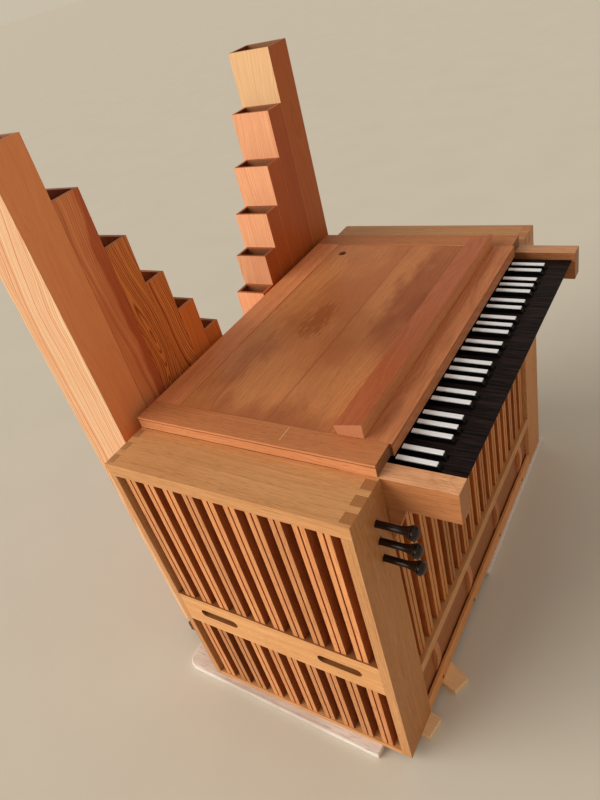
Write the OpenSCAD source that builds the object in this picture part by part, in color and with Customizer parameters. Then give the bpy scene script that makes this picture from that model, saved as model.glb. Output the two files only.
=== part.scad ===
// Chest organ: an oak case with slatted ends, a keyboard of four and a half octaves, a lift-off panelled lid
// and twelve stopped wooden bass pipes that stand in two descending rows behind the case.
// The keyboard sets the width of the case; slats and brackets fill what is between its boards.
// Millimetres. X runs from bass to treble, +Y to the back, Z up from the floor.
// The origin is on the floor, in the middle of the case front.

/* [Case] */
// Depth from front to back
case_d = 515; // [500:5:540]
// Height of the case without its base boards
case_h = 698; // [680:1:720]
// Width of one end box
end_w = 108.5; // [100:0.5:116]
// Thickness of the end boxes' top boards
end_top_t = 28; // [24:1:32]
// Thickness of the end boxes' front boards
end_front_t = 21; // [18:1:24]
// Thickness of the end boxes' back boards
end_back_t = 15; // [12:1:18]
// Thickness of the end boxes' bottom boards
end_bottom_t = 12; // [10:1:16]
// Thickness of the panels that close the end boxes on their inner side
inner_panel_t = 12; // [8:1:16]
// Thickness of the case back
back_panel_t = 12; // [8:1:16]
// Width of the frame round the case back
back_frame_w = 55; // [40:5:70]
// How far the back panel lies inside its frame
back_recess = 5; // [3:1:7]
// Thickness of the case floor
floor_t = 20; // [15:1:24]

/* [Dovetails] */
// Dovetails at each corner of an end box
tail_count = 3; // [2:1:4]
// Width of a dovetail at its wide end
tail_wide = 23; // [20:1:25]
// Width of a dovetail at its root
tail_root = 17; // [14:1:19]

/* [End slats] */
// Width of one slat
slat_w = 24.5; // [20:0.5:26]
// Depth of a slat from face to back
slat_d = 22; // [15:1:30]
// Distance from slat to slat
slat_pitch = 46; // [42:0.5:52]
// Least room between the outermost slats' middles and the boards beside them
slat_margin = 20; // [18:1:24]
// Width of the groove down the middle of a slat
slat_groove_w = 3; // [2:0.5:4]
// Depth of that groove
slat_groove_d = 6; // [3:0.5:8]
// How far the slats lie behind the face of the end
slat_recess = 3; // [1:0.5:5]

/* [Hand rail] */
// Height of the rail's underside above the case bottom
rail_z = 228; // [215:1:240]
// Height of the rail
rail_h = 90; // [80:1:100]
// Thickness of the rail
rail_t = 22; // [18:1:26]
// Length of a hand slot
slot_l = 97; // [85:1:110]
// Height of a hand slot
slot_h = 22; // [20:1:28]
// Distance of a hand slot's middle from the nearer case face
slot_inset = 111; // [100:1:130]

/* [Keyboard] */
// Width of one octave
octave_w = 159; // [155:0.5:165]
// Natural keys from the lowest to the highest
naturals = 32; // [29:1:36]
// Gap between the keyboard and a cheek
keyboard_gap = 1.5; // [1:0.1:3]
// Gap between two keys
key_gap = 1; // [0.8:0.1:1.4]
// Height of the natural keys' tops below the case top
key_drop = 16; // [16:1:24]
// How far the natural keys stand out in front of the case
key_reach = 120; // [114:1:122]
// Depth of the natural keys' heads, in front of the sharps
key_head = 42; // [40:1:48]
// Thickness of a key lever
lever_t = 15; // [12:1:18]
// Thickness of the ebony covers on the naturals
cover_t = 3; // [2:0.5:4]
// How far a cover stands over its lever
cover_lip = 7; // [5:0.5:9]
// Length of the key levers behind the case front
key_tail = 60; // [50:1:80]
// Width of a sharp at its base
sharp_w = 11; // [10:0.5:12]
// How far C sharp and D sharp stand apart from the joints between the naturals
pair_spread = 2; // [0:0.1:3]
// How far F sharp and A sharp stand apart from those joints
triple_spread = 3.2; // [0:0.1:4]
// Height of a sharp above the naturals, without its white top
sharp_h = 8.5; // [7:0.5:8.5]
// Thickness of a sharp's white top
sharp_top_t = 3; // [2:0.5:4]
// How far a sharp's nose slopes back
sharp_slope = 5; // [4:0.5:8]
// How far a white top is set in from the sharp's sides
sharp_top_inset = 0.6; // [0.3:0.1:1]
// Gap between the white tops and the front of the lid
sharp_top_gap = 1; // [1:0.5:3]
// Thickness of the key bed
bed_t = 20; // [16:1:24]
// How far the key bed stands out in front of the case
bed_reach = 80; // [60:5:95]
// Depth of the key bed behind the levers
bed_back_room = 12; // [5:1:20]
// Width of those strips
strip_w = 15; // [10:1:20]

/* [Cheeks] */
// Thickness of a cheek
cheek_t = 36.6; // [32:0.1:40]
// Height of a cheek
cheek_h = 64.3; // [60:0.1:70]
// How far a cheek stands out in front of the case
cheek_reach = 127; // [122:1:135]
// Height of the gusset under a cheek
gusset_h = 85; // [75:1:110]
// How far the gusset stands out at its top
gusset_reach = 35; // [25:1:40]
// Thickness of the gusset
gusset_t = 21; // [15:1:30]

/* [Front] */
// How far the grille lies behind the case front
grille_recess = 8; // [5:1:12]
// Height of the shelf rail's underside above the floor
shelf_z = 163; // [150:1:175]
// Height of the shelf rail
shelf_h = 27; // [22:1:32]
// Depth of the shelf
shelf_d = 60; // [50:1:80]
// Thickness of the board behind the grille
grille_back_t = 10; // [8:1:14]
// Height of the bottom rail
bottom_rail_h = 41; // [36:1:48]
// Thickness of the bottom rail
bottom_rail_t = 7; // [5:0.5:8]
// Brackets in the niche under the grille
bracket_count = 4; // [3:1:4]
// Distance of the outer brackets' middles from the end boxes
bracket_inset = 79; // [60:1:100]
// Depth of the niche under the grille
niche_d = 11; // [10:0.5:16]
// Thickness of the board at the back of the niche
niche_board_t = 10; // [8:1:14]
// Thickness of a bracket
bracket_t = 19; // [15:1:24]
// How far a bracket's nose is rounded back at its ends
bracket_round = 9; // [5:0.5:12]

/* [Lid] */
// Thickness of the lid's frame
lid_t = 24.3; // [22:0.1:28]
// Setback of the lid's end members from the case front
lid_setback = 4; // [2:0.5:8]
// How far the lid's front member stands out in front of them
lid_front_out = 4.5; // [3:0.5:6]
// How far the front member's lip hangs down between the cheeks
lid_lip_h = 2.5; // [1:0.5:2.5]
// Thickness of that lip
lid_lip_t = 12; // [8:1:20]
// Width of the lid's end members
lid_stile_w = 54; // [45:1:60]
// Width of the lid's front member
lid_front_w = 57.5; // [52:0.5:65]
// Width of the lid's back member
lid_back_w = 65; // [55:1:75]
// Thickness of the lid's panel boards
lid_panel_t = 12; // [9:1:15]
// How far the panel boards lie below the frame's top
lid_panel_drop = 1.5; // [1:0.5:4]
// How far the joint between the panel boards lies in front of the panel's middle
lid_joint_shift = 12; // [0:1:40]
// Gap at that joint
lid_joint_gap = 0.3; // [0.2:0.1:0.5]
// Width of the crack that has opened at the joint
lid_crack_w = 1; // [0.6:0.1:1.4]
// Length of that crack
lid_crack_l = 180; // [100:10:250]
// Distance of the crack from the panel's bass end
lid_crack_end = 48; // [30:1:80]
// Height of the bead along the lid's top edge
lid_bead_h = 4; // [3:0.5:8]
// Height of the groove under that bead
lid_groove_h = 2; // [1:0.5:3]
// Depth of that groove
lid_groove_d = 4; // [1:0.5:5]
// Diameter of the finger hole
finger_hole_d = 20; // [16:1:24]
// Distance of the finger hole's middle from the panel's treble end
finger_hole_end = 49; // [35:1:70]
// Distance of the finger hole's middle from the panel's back
finger_hole_back = 33; // [25:1:60]

/* [Music ledge] */
// Distance of the ledge's front from the case front
ledge_y = 48; // [45:1:52]
// Depth of the ledge at its top
ledge_d = 54.5; // [45:0.5:60]
// How much less deep the ledge is at its foot
ledge_undercut = 4.5; // [0:0.5:8]
// Height of the ledge at its front
ledge_front_h = 28.7; // [24:0.1:32]
// Height of the ledge at its back
ledge_back_h = 17.7; // [14:0.1:22]

/* [Stop knobs] */
// Distance from knob to knob
knob_pitch = 41; // [38:1:46]
// Distance of the top knob's middle below the case top
knob_drop = 63; // [58:1:75]
// Distance of the knobs' middles from the inner side of their board
knob_inset = 38.5; // [35:0.5:50]
// Diameter of a knob's shaft
knob_shaft_d = 12.5; // [10:0.5:14]
// Diameter of a knob's head
knob_head_d = 26; // [22:0.5:28]
// How far a drawn knob stands out
knob_reach = 72; // [66:1:80]
// Length of a knob's trumpet-shaped flare
knob_flare_l = 28; // [22:1:30]
// How late the flare opens
knob_flare_curve = 2.4; // [1.5:0.1:3.5]
// Length of a knob's head in front of the flare
knob_head_l = 11; // [9:0.5:13]
// Height of the domed face on a knob's head
knob_dome_h = 5; // [3:0.5:6]
// Depth of the grooves beside the ring round a knob's head
knob_ring_h = 2; // [1:0.5:2.5]
// Length of a knob's shaft behind the board
knob_tail = 60; // [40:1:80]
// Travel of a stop knob
knob_travel = 25; // [20:1:30]
// Gap around a knob's shaft in its hole
knob_fit = 0.5; // [0.3:0.1:0.8]

/* [Pipes] */
// Width of the third largest pipe
pipe_w = 61; // [57:1:64]
// Extra width of the two largest pipes
big_pipe_extra = 19; // [12:1:22]
// Depth of the largest pipe
pipe_d = 118; // [105:1:125]
// Height of every pipe's mouth above the floor
mouth_z = 103; // [95:1:115]
// Speaking length of the largest pipe
pipe_l = 1180; // [1120:5:1200]
// Length cut off the largest pipe
pipe_trim = 17; // [0:1:25]
// Thickness of a pipe's walls
pipe_wall = 7; // [6:0.5:8]
// Gap between neighbouring pipes
pipe_space = 0.6; // [0.4:0.1:0.8]
// Gap between the case back and the pipes
pipe_gap = 20; // [15:1:25]
// Distance of the outermost pipes' outer faces from the case sides
pipe_inset = 73; // [65:1:80]
// Height of a pipe's round foot
foot_h = 22; // [15:1:30]
// Diameter of a pipe's foot
foot_d = 26; // [20:1:30]
// Thickness of the cap below a mouth
cap_t = 9; // [7:1:12]
// Thickness of a mouth's upper lip at its edge
lip_t = 2; // [1:0.5:3]
// Depth of the stoppers below the pipe tops
stopper_depth = 42; // [30:1:60]
// Thickness of a stopper
stopper_t = 30; // [20:1:40]
// Diameter of a stopper's handle
handle_d = 22; // [18:1:26]
// Height of a stopper's handle
handle_h = 30; // [20:1:36]
// Diameter of a handle's neck
handle_neck_d = 12; // [9:1:14]

/* [Pipe rack] */
// Thickness of the board that the pipes stand on
toe_board_t = 30; // [24:1:40]
// Depth of that board
toe_board_d = 140; // [140:5:150]
// Distance of the rack's middle below the case top
rack_drop = 133; // [100:5:200]
// Height of the rack
rack_h = 40; // [30:1:50]

/* [Base] */
// Thickness of the base boards
base_t = 15; // [12:1:18]
// How far the bass base board stands out beyond the end
bass_board_out = 20; // [15:1:25]
// Width of the bass base board
bass_board_w = 230; // [200:5:260]
// How much longer the bass base board is than the case is deep
bass_board_extra = 25; // [5:5:45]
// Distance of its front end from the case front
bass_board_y = 66; // [50:1:80]
// Turn of the bass base board
bass_board_turn = 1.4; // [0:0.1:2]
// Radius of its rounded corners
board_round = 30; // [15:1:40]
// How far the treble base board reaches past the case's middle
treble_board_in = 10; // [0:5:60]
// How much longer the treble base board is than the case is deep
treble_board_extra = 85; // [60:5:105]
// How far the treble base board stands out in front of the case
treble_board_out = 6; // [2:1:12]

/* [Wedges] */
// Width of the inner wedge
inner_wedge_w = 54; // [40:1:60]
// Distance of the inner wedge from the end box
inner_wedge_inset = 72; // [60:0.5:90]
// How far the inner wedge stands out in front of the case
inner_wedge_out = 48; // [30:1:60]
// How much the inner wedge leans to the bass side
inner_wedge_lean = 0.35; // [0:0.05:0.5]
// Width of the outer wedge
outer_wedge_w = 50; // [40:1:60]
// Distance of the outer wedge from the inner side of its end box
outer_wedge_inset = 0; // [0:0.5:20]
// How far the outer wedge stands out in front of the case
outer_wedge_out = 25; // [15:1:40]
// How much the outer wedge leans to the bass side
outer_wedge_lean = 0.1; // [0:0.05:0.5]
// Length of the wedges under the case
wedge_back = 50; // [30:1:60]
// How much a wedge narrows towards its tip
wedge_taper = 0.2; // [0:0.05:0.3]
// How much a wedge's cut end runs off square
wedge_cut = 0.35; // [0:0.05:0.5]

/* [Hidden] */

// Run past a face that a cut goes through
over = 1;

bottom_z = base_t;
top_z = bottom_z + case_h;
lid_top = top_z + lid_t;
natural_pitch = octave_w / 7;
keyboard_w = naturals * natural_pitch;
opening_x = keyboard_w / 2 + keyboard_gap;
inner_x = opening_x + cheek_t;
side_x = inner_x + end_w;
rail_bottom = bottom_z + rail_z;
rail_top = rail_bottom + rail_h;
rail_mid = rail_bottom + rail_h / 2;
slat_low = bottom_z + end_bottom_t;
slat_high = top_z - end_top_t;
key_z = top_z - key_drop;
lever_top = key_z - cover_t;
lever_bottom = lever_top - lever_t;
lever_front = -key_reach + cover_lip;
bed_bottom = top_z - cheek_h;
bed_top = bed_bottom + bed_t;
bed_back = key_tail + bed_back_room;
sharp_front = -key_reach + key_head + key_gap;
niche_low = bottom_z + bottom_rail_h;
niche_back = niche_d + niche_board_t;
panel_x = inner_x - lid_stile_w;
lid_front_y = lid_setback - lid_front_out;
panel_front = lid_setback + lid_front_w;
panel_back = case_d - lid_back_w;
lid_joint_y = (panel_front + panel_back) / 2 - lid_joint_shift;
knob_x = inner_x + knob_inset;
knob_top_z = top_z - knob_drop;
rack_z = top_z - rack_drop;
pipe_edge = side_x - pipe_inset;
bass_board_l = case_d + bass_board_extra;
pipe_y = case_d + pipe_gap;
toe_top = base_t + toe_board_t;
pipe_bottom = toe_top + foot_h;
last_pipe = 11;
// Semitones over which the pipes' widths and depths halve
halving = 21;

// Repeats a part mirrored on the treble side
module both_sides() {
    children();
    mirror([1, 0, 0]) children();
}

// A board between two corners
module board(from, to) {
    translate(from) cube(to - from);
}

// Middle of dovetail i across the bass end box
function tail_x(i) = -side_x + end_w * (i + 0.5) / tail_count;

// One row of dovetails rising through an end top board
module tails(y, t) {
    for (i = [0:tail_count - 1])
        translate([tail_x(i), y + t, slat_high])
            rotate([90, 0, 0])
                linear_extrude(t)
                    polygon([[-tail_root / 2, 0], [tail_root / 2, 0],
                        [tail_wide / 2, end_top_t], [-tail_wide / 2, end_top_t]]);
}

// Top boards of the two end boxes, with dovetail sockets at both ends
module end_tops() {
    color("#c58a52")
        both_sides()
            difference() {
                board([-side_x, 0, slat_high], [-inner_x, case_d, top_z]);
                tails(0, end_front_t);
                tails(case_d - end_back_t, end_back_t);
            }
}

// Front boards of the end boxes; the bass one is bored for the stop knobs
module end_fronts() {
    color("#b97f45") {
        difference() {
            end_front();
            for (i = [0:2])
                translate([-knob_x, -over, knob_top_z - i * knob_pitch])
                    rotate([-90, 0, 0])
                        cylinder(d = knob_shaft_d + 2 * knob_fit, h = end_front_t + 2 * over, $fn = 48);
        }
        mirror([1, 0, 0]) end_front();
    }
}

module end_front() {
    board([-side_x, 0, bottom_z], [-inner_x, end_front_t, slat_high]);
    tails(0, end_front_t);
}

// Back boards of the end boxes
module end_backs() {
    color("#c98d4e")
        both_sides() {
            board([-side_x, case_d - end_back_t, bottom_z], [-inner_x, case_d, slat_high]);
            tails(case_d - end_back_t, end_back_t);
        }
}

// Bottom boards of the end boxes
module end_bottoms() {
    color("#b5793f")
        both_sides()
            board([-side_x, end_front_t, bottom_z], [-inner_x, case_d - end_back_t, slat_low]);
}

// Panels that close the end boxes on their inner side
module end_inner_panels() {
    color("#7a4420")
        both_sides()
            board([-inner_x - inner_panel_t, end_front_t, slat_low],
                [-inner_x, case_d - end_back_t, slat_high]);
}

// Hand rails across the ends, each with two round-ended slots
module hand_rails() {
    color("#dca35d")
        both_sides()
            difference() {
                board([-side_x, end_front_t, rail_bottom],
                    [-side_x + rail_t, case_d - end_back_t, rail_top]);
                for (y = [slot_inset, case_d - slot_inset])
                    hand_slot(y);
            }
}

// A hand slot through the bass rail, centred at depth y
module hand_slot(y) {
    reach = (slot_l - slot_h) / 2;
    translate([-side_x - over, y, rail_mid])
        rotate([0, 90, 0]) {
            for (s = [-1, 1])
                translate([0, s * reach, 0]) cylinder(d = slot_h, h = rail_t + 2 * over, $fn = 48);
            translate([-slot_h / 2, -reach, 0]) cube([slot_h, 2 * reach, rail_t + 2 * over]);
        }
}

// One slat seen from above, its grooved face towards -X
module slat_outline() {
    difference() {
        translate([0, -slat_w / 2]) square([slat_d, slat_w]);
        translate([-over, -slat_groove_w / 2]) square([slat_groove_d + over, slat_groove_w]);
    }
}

// Slats that fit evenly into an opening of length l
function slats_in(l) = floor((l - 2 * slat_margin) / slat_pitch) + 1;

// Place of slat i of n, measured from the opening's middle
function slat_place(i, n) = (i - (n - 1) / 2) * slat_pitch;

// Rows of slats in both ends, between two heights
module slat_rows(low, high) {
    middle = (case_d + end_front_t - end_back_t) / 2;
    n = slats_in(case_d - end_front_t - end_back_t);
    both_sides()
        for (i = [0:n - 1])
            translate([-side_x + slat_recess, middle + slat_place(i, n), low])
                linear_extrude(high - low) slat_outline();
}

// Slats of both ends, above and below the hand rails
module end_slats() {
    color("#d6955c") {
        slat_rows(rail_top, slat_high);
        slat_rows(slat_low, rail_bottom);
    }
}

// Cheeks beside the keyboard, flush with the bed's underside, each with a tapered gusset
module cheeks() {
    color("#dba25f")
        both_sides() {
            board([-inner_x, -cheek_reach, bed_bottom], [-opening_x, bed_back, top_z]);
            translate([-inner_x, 0, bed_bottom])
                rotate([90, 0, 90])
                    linear_extrude(gusset_t)
                        polygon([[0, 0], [-gusset_reach, 0], [0, -gusset_h]]);
        }
}

// Key bed with the two strips that the levers rest on
module key_bed() {
    color("#8a5a30") {
        board([-opening_x, -bed_reach, bed_bottom], [opening_x, bed_back, bed_top]);
        for (y = [-bed_reach, key_tail - 2 * strip_w])
            board([-opening_x, y, bed_top], [opening_x, y + strip_w, lever_bottom]);
    }
}

// Joint between naturals n and n + 1, where a sharp may stand: the lowest C is number 0
function joint_x(n) = -keyboard_w / 2 + (n + 1) * natural_pitch;
function has_sharp(n) = len(search(n % 7, [0, 1, 3, 4, 5])) > 0;

// How far the sharp of joint n stands off it
function sharp_shift(n) = lookup(n % 7,
    [[0, -pair_spread], [1, pair_spread], [3, -triple_spread], [4, 0], [5, triple_spread]]);
function sharp_x(n) = joint_x(n) + sharp_shift(n);

// Room for the sharps between two heights
module sharp_room(low, high) {
    for (n = [0:naturals - 2])
        if (has_sharp(n))
            board([sharp_x(n) - sharp_w / 2 - key_gap, -key_reach + key_head, low - over],
                [sharp_x(n) + sharp_w / 2 + key_gap, key_tail + over, high + over]);
}

// A row of naturals between two heights, cut away beside the sharps
module naturals_row(front, low, high) {
    difference() {
        for (n = [0:naturals - 1])
            board([joint_x(n - 1) + key_gap / 2, front, low],
                [joint_x(n) - key_gap / 2, key_tail, high]);
        sharp_room(low, high);
    }
}

// Wooden levers of the naturals and the sharps
module key_levers() {
    color("#b98a58") {
        naturals_row(lever_front, lever_bottom, lever_top);
        for (n = [0:naturals - 2])
            if (has_sharp(n))
                board([sharp_x(n) - sharp_w / 2, sharp_front, lever_bottom],
                    [sharp_x(n) + sharp_w / 2, key_tail, lever_top]);
    }
}

// Ebony covers of the naturals
module natural_covers() {
    color("#241b1c") naturals_row(-key_reach, lever_top, key_z);
}

// Black sharps with a sloped nose
module sharp_keys() {
    color("#1c1719")
        for (n = [0:naturals - 2])
            if (has_sharp(n))
                translate([sharp_x(n) - sharp_w / 2, 0, 0])
                    rotate([90, 0, 90])
                        linear_extrude(sharp_w)
                            polygon([[sharp_front, lever_top], [key_tail, lever_top],
                                [key_tail, key_z + sharp_h],
                                [sharp_front + sharp_slope, key_z + sharp_h], [sharp_front, key_z]]);
}

// White slips on the sharps
module sharp_tops() {
    half = sharp_w / 2 - sharp_top_inset;
    color("#f2efe9")
        for (n = [0:naturals - 2])
            if (has_sharp(n))
                board([sharp_x(n) - half, sharp_front + sharp_slope, key_z + sharp_h],
                    [sharp_x(n) + half, lid_front_y - sharp_top_gap, key_z + sharp_h + sharp_top_t]);
}

// Slats of the front grille
module front_grille() {
    n = slats_in(2 * inner_x);
    color("#c98a52")
        for (i = [0:n - 1])
            translate([slat_place(i, n), grille_recess, shelf_z + shelf_h])
                rotate([0, 0, 90])
                    linear_extrude(bed_bottom - shelf_z - shelf_h) slat_outline();
}

// Dark board behind the front grille
module grille_back() {
    color("#5c3216")
        board([-inner_x, shelf_d, shelf_z], [inner_x, shelf_d + grille_back_t, bed_bottom]);
}

module shelf_rail() {
    color("#c08549") board([-inner_x, 0, shelf_z], [inner_x, shelf_d, shelf_z + shelf_h]);
}

// Round-nosed brackets in the niche, between the bottom rail and the shelf
module niche_brackets() {
    h = shelf_z - niche_low;
    bracket_pitch = 2 * (inner_x - bracket_inset) / (bracket_count - 1);
    nose_r = (h * h / 4 + bracket_round * bracket_round) / (2 * bracket_round);
    color("#a9713f")
        for (i = [0:bracket_count - 1])
            translate([(i - (bracket_count - 1) / 2) * bracket_pitch - bracket_t / 2, 0, niche_low])
                intersection() {
                    cube([bracket_t, niche_d, h]);
                    translate([-over, nose_r, h / 2])
                        rotate([0, 90, 0]) cylinder(r = nose_r, h = bracket_t + 2 * over, $fn = 96);
                }
}

// Bottom rail, and the board behind it that closes the niche
module bottom_rail() {
    color("#bb8248") {
        board([-inner_x, 0, bottom_z], [inner_x, bottom_rail_t, niche_low]);
        board([-inner_x, niche_d, bottom_z], [inner_x, niche_back, shelf_z]);
    }
}

module case_floor() {
    color("#7a4a2c")
        board([-inner_x, niche_back, bottom_z],
            [inner_x, case_d - back_panel_t, bottom_z + floor_t]);
}

// Framed back of the case
module case_back() {
    color("#b67c46")
        difference() {
            board([-inner_x, case_d - back_panel_t, bottom_z], [inner_x, case_d, top_z]);
            board([-inner_x + back_frame_w, case_d - back_recess, bottom_z + back_frame_w],
                [inner_x - back_frame_w, case_d + over, rack_z - rack_h / 2 - back_frame_w]);
        }
}

// Batten that spaces the pipes from the case
module pipe_rack() {
    color("#a06a3a")
        board([-pipe_edge, case_d, rack_z - rack_h / 2], [pipe_edge, pipe_y, rack_z + rack_h / 2]);
}

// Board that the pipes' feet stand on
module pipe_toe_board() {
    color("#a06a3a")
        board([-pipe_edge, case_d, base_t], [pipe_edge, case_d + toe_board_d, toe_top]);
}

// Groove under the bead, run round the lid's outer edge from its front at depth front
module lid_edge_groove(front) {
    low = lid_top - lid_bead_h - lid_groove_h;
    difference() {
        board([-inner_x - over, front - over, low],
            [inner_x + over, case_d + over, low + lid_groove_h]);
        board([-inner_x + lid_groove_d, front + lid_groove_d, low - over],
            [inner_x - lid_groove_d, case_d - lid_groove_d, low + lid_groove_h + over]);
    }
}

// End members of the lid, running from front to back
module lid_stiles() {
    color("#a9683f")
        both_sides()
            difference() {
                board([-inner_x, lid_setback, top_z], [-panel_x, case_d, lid_top]);
                lid_edge_groove(lid_setback);
            }
}

// Front and back members of the lid, between the stiles; the front one's lip hangs over the keys
module lid_rails() {
    color("#a4633b")
        difference() {
            union() {
                board([-panel_x, lid_front_y, top_z], [panel_x, panel_front, lid_top]);
                board([-panel_x, lid_front_y, top_z - lid_lip_h],
                    [panel_x, lid_front_y + lid_lip_t, lid_top]);
                board([-panel_x, panel_back, top_z], [panel_x, case_d, lid_top]);
            }
            lid_edge_groove(lid_front_y);
        }
}

// Crack that has opened along part of the joint between the panel boards
module lid_crack() {
    translate([-panel_x + lid_crack_end, lid_joint_y, 0])
        linear_extrude(lid_top + over)
            polygon([[0, 0], [lid_crack_l / 2, -lid_crack_w / 2], [lid_crack_l, 0],
                [lid_crack_l / 2, lid_crack_w / 2]]);
}

// Two panel boards with their joint, the crack and a finger hole
module lid_panel() {
    high = lid_top - lid_panel_drop;
    color("#b3764a")
        difference() {
            board([-panel_x, panel_front, high - lid_panel_t], [panel_x, panel_back, high]);
            board([-panel_x - over, lid_joint_y, high - lid_panel_t - over],
                [panel_x + over, lid_joint_y + lid_joint_gap, high + over]);
            lid_crack();
            translate([panel_x - finger_hole_end, panel_back - finger_hole_back,
                    high - lid_panel_t - over])
                cylinder(d = finger_hole_d, h = lid_panel_t + 2 * over, $fn = 48);
        }
}

// Long rail on the lid, rebated over the front member, its top sloping down to the back
// and its back leaning in to the foot
module music_ledge() {
    step = panel_front - ledge_y;
    color("#c07b48")
        translate([-panel_x, ledge_y, lid_top])
            rotate([90, 0, 90])
                linear_extrude(2 * panel_x)
                    polygon([[0, 0], [step, 0], [step, -lid_panel_drop],
                        [ledge_d - ledge_undercut, -lid_panel_drop],
                        [ledge_d, ledge_back_h], [0, ledge_front_h]]);
}

// Radius of a knob along its flare, for a share s from shaft to head
function flare_r(s) = knob_shaft_d / 2 + (knob_head_d - knob_shaft_d) / 2 * pow(s, knob_flare_curve);

// One turned stop knob: shaft, trumpet flare, ring and domed face on one axis
module stop_knob(i) {
    flare_end = knob_reach - knob_head_l;
    ring_l = knob_head_l - knob_dome_h;
    head_r = knob_head_d / 2;
    dome_r = head_r - knob_ring_h;
    steps = 10;
    color("#3a2e28")
        translate([-knob_x, 0, knob_top_z - i * knob_pitch])
            rotate([90, 0, 0])
                rotate_extrude($fn = 64)
                    polygon(concat([[0, -knob_tail], [knob_shaft_d / 2, -knob_tail]],
                        [for (s = [0:steps])
                            [flare_r(s / steps), flare_end - knob_flare_l * (1 - s / steps)]],
                        [[dome_r, flare_end + ring_l / 6], [dome_r, flare_end + ring_l / 3],
                            [head_r, flare_end + ring_l / 2], [head_r, flare_end + ring_l * 5 / 6]],
                        [for (a = [0:15:90])
                            [dome_r * cos(a), knob_reach - knob_dome_h * (1 - sin(a))]]));
}

module stop_knob_1() { stop_knob(0); }
module stop_knob_2() { stop_knob(1); }
module stop_knob_3() { stop_knob(2); }

// Outline of a base board with two rounded corners at its back
module base_board_outline(w, l) {
    union() {
        square([w, l - board_round]);
        translate([board_round, 0]) square([w - 2 * board_round, l]);
        for (x = [board_round, w - board_round])
            translate([x, l - board_round]) circle(r = board_round, $fn = 64);
    }
}

// Boards under the case that keep it level
module base_boards() {
    color("#e4d3c6") {
        translate([-side_x - bass_board_out, bass_board_y, 0])
            rotate([0, 0, -bass_board_turn])
                translate([-bass_board_l * sin(bass_board_turn) / 4, 0, 0])
                    linear_extrude(base_t) base_board_outline(bass_board_w, bass_board_l);
        translate([-treble_board_in, -treble_board_out, 0])
            linear_extrude(base_t)
                base_board_outline(side_x + treble_board_in + bass_board_out,
                    case_d + treble_board_extra);
    }
}

// A wedge w wide that stands out in front of the case, its edges leaning to the bass side
module wedge(w, out, lean) {
    short_out = out * (1 - wedge_cut);
    linear_extrude(base_t)
        polygon([[0, wedge_back], [0, 0], [-lean * short_out, -short_out],
            [w - (lean + wedge_taper) * out, -out], [w, 0], [w, wedge_back]]);
}

// Offcuts pushed in under the front as wedges
module wedges() {
    color("#cf9a66") {
        translate([-inner_x + inner_wedge_inset, 0, 0])
            wedge(inner_wedge_w, inner_wedge_out, inner_wedge_lean);
        translate([-inner_x - outer_wedge_inset - outer_wedge_w, 0, 0])
            wedge(outer_wedge_w, outer_wedge_out, outer_wedge_lean);
    }
}

// Note 0 is the lowest C; even notes stand on the bass side, odd ones on the treble side
function note_w(k) = pipe_w * pow(2, -(max(k, 2) - 2) / halving) + (k < 2 ? big_pipe_extra : 0);
function note_d(k) = pipe_d * pow(2, -k / halving);
function note_top(k) = mouth_z + pipe_l * pow(2, -k / 12) - (k == 0 ? pipe_trim : 0);
function inset(k) = k < 2 ? 0 : inset(k - 2) + note_w(k - 2) + pipe_space;

// Places children at the front bass-side corner of pipe k, on the floor
module at_pipe(k) {
    x = k % 2 == 0 ? -pipe_edge + inset(k) : pipe_edge - inset(k) - note_w(k);
    translate([x, pipe_y, 0]) children();
}

// A stopped wooden pipe, its mouth and cap on the side away from the case
module pipe(k) {
    w = note_w(k);
    d = note_d(k);
    bore_w = w - 2 * pipe_wall;
    mouth_h = bore_w / 3;
    lip_h = mouth_h;
    color("#a5622f")
        at_pipe(k) {
            difference() {
                translate([0, 0, pipe_bottom]) cube([w, d, note_top(k) - pipe_bottom]);
                translate([pipe_wall, pipe_wall, mouth_z])
                    cube([bore_w, d - 2 * pipe_wall, note_top(k)]);
                translate([pipe_wall, d - pipe_wall - over, mouth_z])
                    cube([bore_w, pipe_wall + 2 * over, mouth_h]);
                translate([pipe_wall, d, mouth_z + mouth_h])
                    rotate([90, 0, 90])
                        linear_extrude(bore_w)
                            polygon([[lip_t - pipe_wall, -over], [over, -over], [over, lip_h], [0, lip_h]]);
            }
            translate([pipe_wall / 2, d, pipe_bottom + over])
                cube([w - pipe_wall, cap_t, mouth_z - pipe_bottom - over]);
            translate([w / 2, d / 2, toe_top]) cylinder(d = foot_d, h = foot_h, $fn = 48);
        }
}

module pipe_c() { pipe(0); }
module pipe_d_natural() { pipe(2); }
module pipe_e() { pipe(4); }
module pipe_f_sharp() { pipe(6); }
module pipe_g_sharp() { pipe(8); }
module pipe_a_sharp() { pipe(10); }
module pipe_c_sharp() { pipe(1); }
module pipe_d_sharp() { pipe(3); }
module pipe_f() { pipe(5); }
module pipe_g() { pipe(7); }
module pipe_a() { pipe(9); }
module pipe_b() { pipe(11); }

// Stoppers with turned handles, one in each pipe
module stoppers() {
    color("#c89a63")
        for (k = [0:last_pipe])
            at_pipe(k)
                translate([pipe_wall, pipe_wall, note_top(k) - stopper_depth - stopper_t]) {
                    w = note_w(k) - 2 * pipe_wall;
                    d = note_d(k) - 2 * pipe_wall;
                    cube([w, d, stopper_t]);
                    translate([w / 2, d / 2, stopper_t])
                        rotate_extrude($fn = 48) handle_outline();
                }
}

// Half outline of a stopper's handle: narrow neck, round knob
module handle_outline() {
    r = handle_d / 2;
    square([handle_neck_d / 2, handle_h - r]);
    intersection() {
        translate([0, handle_h - r]) circle(r = r, $fn = 48);
        square([r, handle_h]);
    }
}

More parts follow.
